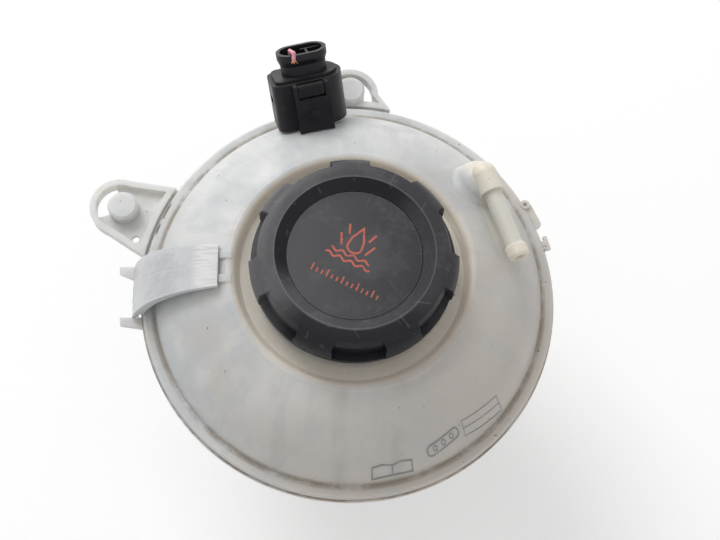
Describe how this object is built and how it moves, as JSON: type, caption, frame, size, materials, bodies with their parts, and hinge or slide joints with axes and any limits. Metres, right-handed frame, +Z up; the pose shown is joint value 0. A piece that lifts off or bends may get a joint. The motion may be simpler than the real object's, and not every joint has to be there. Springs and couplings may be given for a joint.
{
  "type": "coolant expansion tank",
  "caption": "Ball-shaped coolant expansion tank with a screw cap, valve insert, level sensor with plug, vent nipple, hose strap, bottom outlet and fixing lugs.",
  "frame": {"origin": "centre of the mouth of the outlet spigot under the ball", "axes": "+Z up along the axis of the ball and the filler neck, +Y towards the level sensor and the rear lug, -X towards the hose strap"},
  "size_m": [0.1836, 0.1792, 0.1462],
  "materials": {
    "shell_plastic": "translucent natural polypropylene, satin",
    "strap_plastic": "translucent bluish natural plastic, satin",
    "cap_plastic": "satin charcoal plastic",
    "valve_plastic": "plain black plastic",
    "rubber": "plain black rubber",
    "spring_steel": "bright drawn wire",
    "rod_steel": "smooth stainless rod",
    "plug_plastic": "satin near-black plastic",
    "seal_silicone": "soft silicone",
    "contact_brass": "tinned brass",
    "lock_plastic": "plain grey plastic",
    "wire_plastic": "pink wire insulation"
  },
  "bodies": {
    "tank": {"upper_shell": "shell_plastic", "filler_neck": "shell_plastic", "lower_shell": "shell_plastic", "outlet_spigot": "shell_plastic", "hose_strap": "strap_plastic", "sensor_electrodes": "rod_steel"},
    "insert": {"valve_housing": "valve_plastic", "valve_retainer": "valve_plastic", "upper_o_ring": "rubber", "lower_o_ring": "rubber", "pressure_spring": "spring_steel"},
    "cap": {"cap_shell": "cap_plastic", "cap_disc": "cap_plastic"},
    "pressure_valve": {"pressure_plate": "valve_plastic", "pressure_seal": "rubber", "vacuum_spring": "spring_steel"},
    "vacuum_valve": {"vacuum_valve": "valve_plastic", "vacuum_clip": "spring_steel"},
    "plug": {"plug_housing": "plug_plastic", "plug_core": "plug_plastic", "latch_hood": "plug_plastic", "plug_seal": "seal_silicone", "terminal_lock": "lock_plastic", "terminal_left": "contact_brass", "terminal_right": "contact_brass", "wire_seal": "rubber", "wire_stub": "wire_plastic"},
    "latch": {"plug_latch": "plug_plastic"}
  },
  "joints": [
    {"name": "cap_lift", "type": "slide", "parent": "tank", "child": "insert", "axis": [0, 0, 1], "range_m": [0, 0.045]},
    {"name": "cap_turn", "type": "hinge", "parent": "insert", "child": "cap", "pos_m": [0, 0, 0.14], "axis": [0, 0, 1], "range_deg": [0, 2700]},
    {"name": "pressure_valve_open", "type": "slide", "parent": "insert", "child": "pressure_valve", "axis": [0, 0, 1], "range_m": [0, 0.0015], "stiffness_N_per_m": 300, "springref_m": -0.004, "deforming": ["pressure_spring"]},
    {"name": "vacuum_valve_open", "type": "slide", "parent": "pressure_valve", "child": "vacuum_valve", "axis": [0, 0, -1], "range_m": [0, 0.0012], "stiffness_N_per_m": 100, "springref_m": -0.003, "deforming": ["vacuum_spring"]},
    {"name": "plug_pull", "type": "slide", "parent": "tank", "child": "plug", "axis": [-0.162, 0.622, 0.766], "range_m": [0, 0.03]},
    {"name": "latch_press", "type": "hinge", "parent": "plug", "child": "latch", "pos_m": [-0.0147, 0.06595, 0.1278], "axis": [-0.9677, -0.2521, 0], "range_deg": [0, 4.5], "stiffness_Nm_per_rad": 0.1, "springref_deg": -4.58}
  ],
  "couplings": [
    {"joint": "cap_lift", "follows": "cap_turn", "m_per_rad": 0.0009549}
  ]
}
